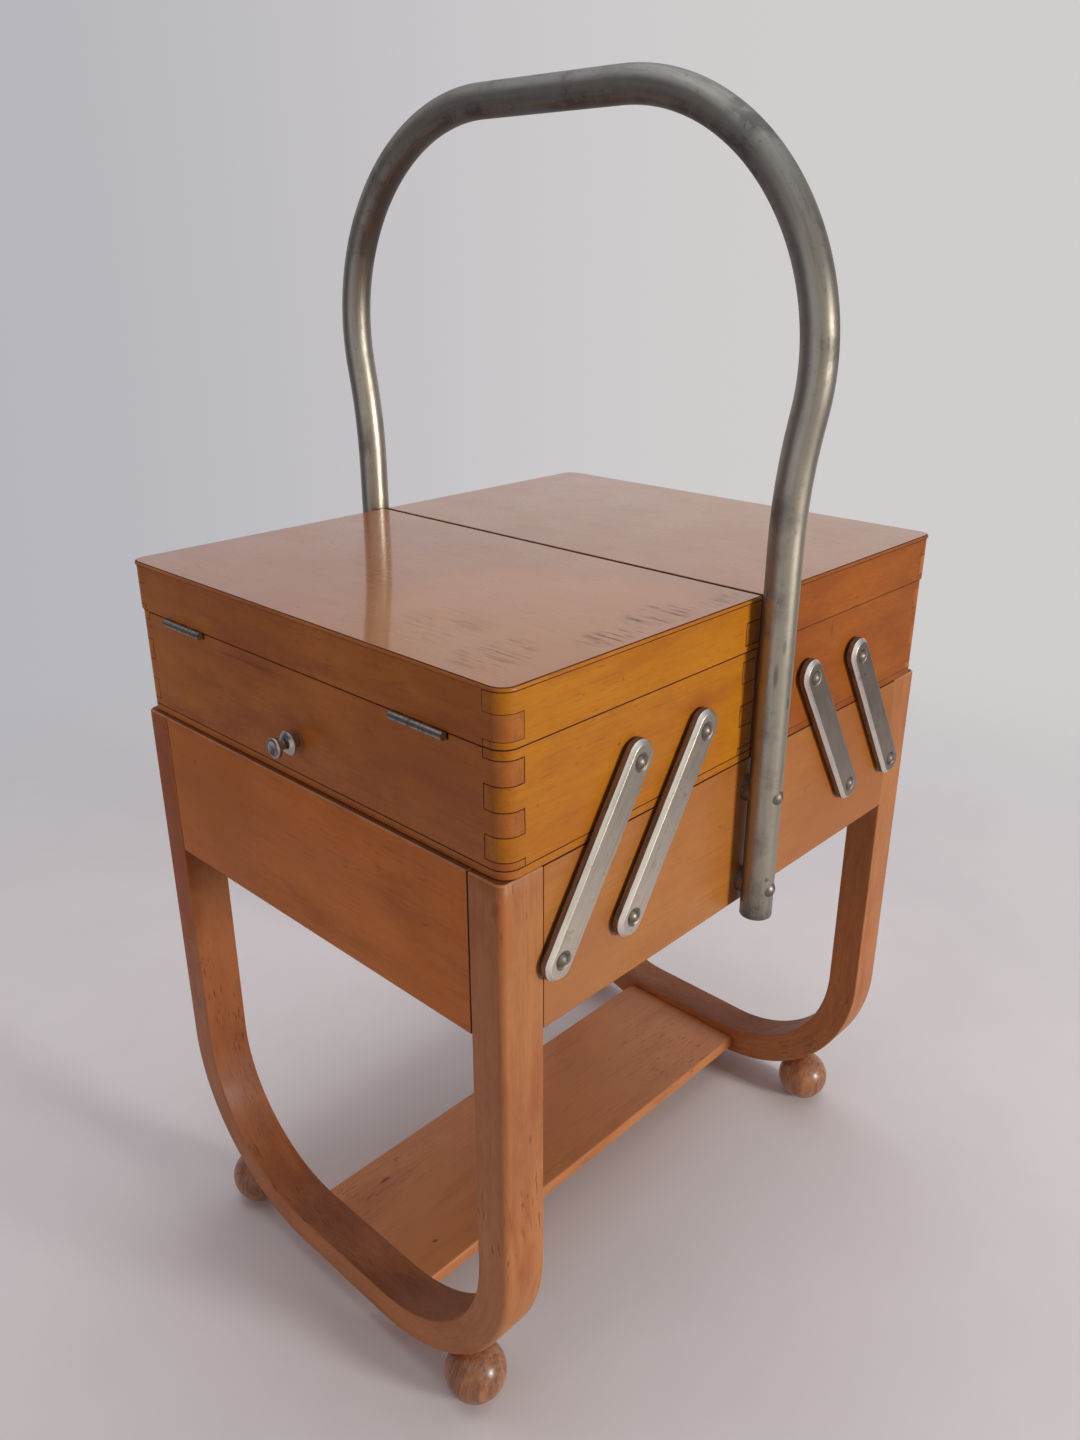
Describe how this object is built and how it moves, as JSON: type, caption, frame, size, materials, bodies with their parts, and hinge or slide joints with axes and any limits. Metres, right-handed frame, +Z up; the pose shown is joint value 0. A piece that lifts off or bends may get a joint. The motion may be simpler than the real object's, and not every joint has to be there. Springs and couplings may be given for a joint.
{
  "type": "sewing box",
  "caption": "Wooden sewing box on bent-wood legs with ball feet: lidded trays swing up and outwards on steel links over an open case, under a bent tube handle.",
  "frame": {"origin": "on the floor under the middle of the box, in the plane of the handle", "axes": "+X along the box towards the right tray, +Y across it towards the back, +Z up"},
  "size_m": [0.3556, 0.3192, 0.6182],
  "materials": {
    "frame_wood": "satin lacquer",
    "case_wood": "glossy lacquer",
    "tray_wood": "glossy lacquer",
    "top_wood": "high-gloss lacquer",
    "shelf_wood": "satin lacquer",
    "plywood": "satin",
    "foot_wood": "satin lacquer",
    "handle_steel": "dull nickel plate",
    "link_steel": "satin nickel plate",
    "screw_steel": "satin",
    "spacer_steel": "dull",
    "knob_steel": "polished nickel plate",
    "hinge_steel": "dull"
  },
  "bodies": {
    "case": {"left_leg_frame": "frame_wood", "right_leg_frame": "frame_wood", "left_end_panel": "case_wood", "right_end_panel": "case_wood", "front_side_panel": "case_wood", "back_side_panel": "case_wood", "case_bottom": "plywood", "shelf": "shelf_wood", "front_left_foot": "foot_wood", "back_left_foot": "foot_wood", "front_right_foot": "foot_wood", "back_right_foot": "foot_wood", "handle_tube": "handle_steel", "handle_spacers": "handle_steel", "handle_screws": "screw_steel", "case_pivot_screws": "screw_steel", "case_pivot_spacers": "spacer_steel"},
    "left_inner_links": {"left_inner_link_front": "link_steel", "left_inner_link_back": "link_steel"},
    "left_outer_links": {"left_outer_link_front": "link_steel", "left_outer_link_back": "link_steel"},
    "left_tray": {"left_tray_end_board": "tray_wood", "left_tray_inner_board": "tray_wood", "left_tray_front_board": "tray_wood", "left_tray_back_board": "tray_wood", "left_tray_bottom": "plywood", "left_tray_knob": "knob_steel", "left_tray_pivot_screws": "screw_steel", "left_tray_pivot_spacers": "spacer_steel", "left_tray_hinge_leaves": "hinge_steel", "left_hinge_pins": "hinge_steel"},
    "left_lid": {"left_lid_end_board": "tray_wood", "left_lid_inner_board": "tray_wood", "left_lid_front_board": "tray_wood", "left_lid_back_board": "tray_wood", "left_lid_panel": "top_wood", "left_lid_hinge_leaves": "hinge_steel"},
    "right_inner_links": {"right_inner_link_front": "link_steel", "right_inner_link_back": "link_steel"},
    "right_outer_links": {"right_outer_link_front": "link_steel", "right_outer_link_back": "link_steel"},
    "right_tray": {"right_tray_end_board": "tray_wood", "right_tray_inner_board": "tray_wood", "right_tray_front_board": "tray_wood", "right_tray_back_board": "tray_wood", "right_tray_bottom": "plywood", "right_tray_knob": "knob_steel", "right_tray_pivot_screws": "screw_steel", "right_tray_pivot_spacers": "spacer_steel", "right_tray_hinge_leaves": "hinge_steel", "right_hinge_pins": "hinge_steel"},
    "right_lid": {"right_lid_end_board": "tray_wood", "right_lid_inner_board": "tray_wood", "right_lid_front_board": "tray_wood", "right_lid_back_board": "tray_wood", "right_lid_panel": "top_wood", "right_lid_hinge_leaves": "hinge_steel"}
  },
  "joints": [
    {"name": "left_inner_link_swing", "type": "hinge", "parent": "case", "child": "left_inner_links", "pos_m": [-0.0925, 0, 0.275], "axis": [0, -1, 0], "range_deg": [0, 65]},
    {"name": "left_outer_link_swing", "type": "hinge", "parent": "case", "child": "left_outer_links", "pos_m": [-0.138, 0, 0.275], "axis": [0, -1, 0], "range_deg": [0, 65]},
    {"name": "left_tray_level", "type": "hinge", "parent": "left_inner_links", "child": "left_tray", "pos_m": [-0.04549, 0, 0.3488], "axis": [0, -1, 0], "range_deg": [-65, 0]},
    {"name": "left_lid_hinge", "type": "hinge", "parent": "left_tray", "child": "left_lid", "pos_m": [-0.1668, 0, 0.3735], "axis": [0, -1, 0], "range_deg": [0, 175]},
    {"name": "right_inner_link_swing", "type": "hinge", "parent": "case", "child": "right_inner_links", "pos_m": [0.0925, 0, 0.275], "axis": [0, 1, 0], "range_deg": [0, 65]},
    {"name": "right_outer_link_swing", "type": "hinge", "parent": "case", "child": "right_outer_links", "pos_m": [0.138, 0, 0.275], "axis": [0, 1, 0], "range_deg": [0, 65]},
    {"name": "right_tray_level", "type": "hinge", "parent": "right_inner_links", "child": "right_tray", "pos_m": [0.04549, 0, 0.3488], "axis": [0, 1, 0], "range_deg": [-65, 0]},
    {"name": "right_lid_hinge", "type": "hinge", "parent": "right_tray", "child": "right_lid", "pos_m": [0.1668, 0, 0.3735], "axis": [0, 1, 0], "range_deg": [0, 175]}
  ],
  "couplings": [
    {"joint": "left_outer_link_swing", "follows": "left_inner_link_swing", "ratio": 1},
    {"joint": "left_tray_level", "follows": "left_inner_link_swing", "ratio": -1},
    {"joint": "right_outer_link_swing", "follows": "right_inner_link_swing", "ratio": 1},
    {"joint": "right_tray_level", "follows": "right_inner_link_swing", "ratio": -1}
  ]
}
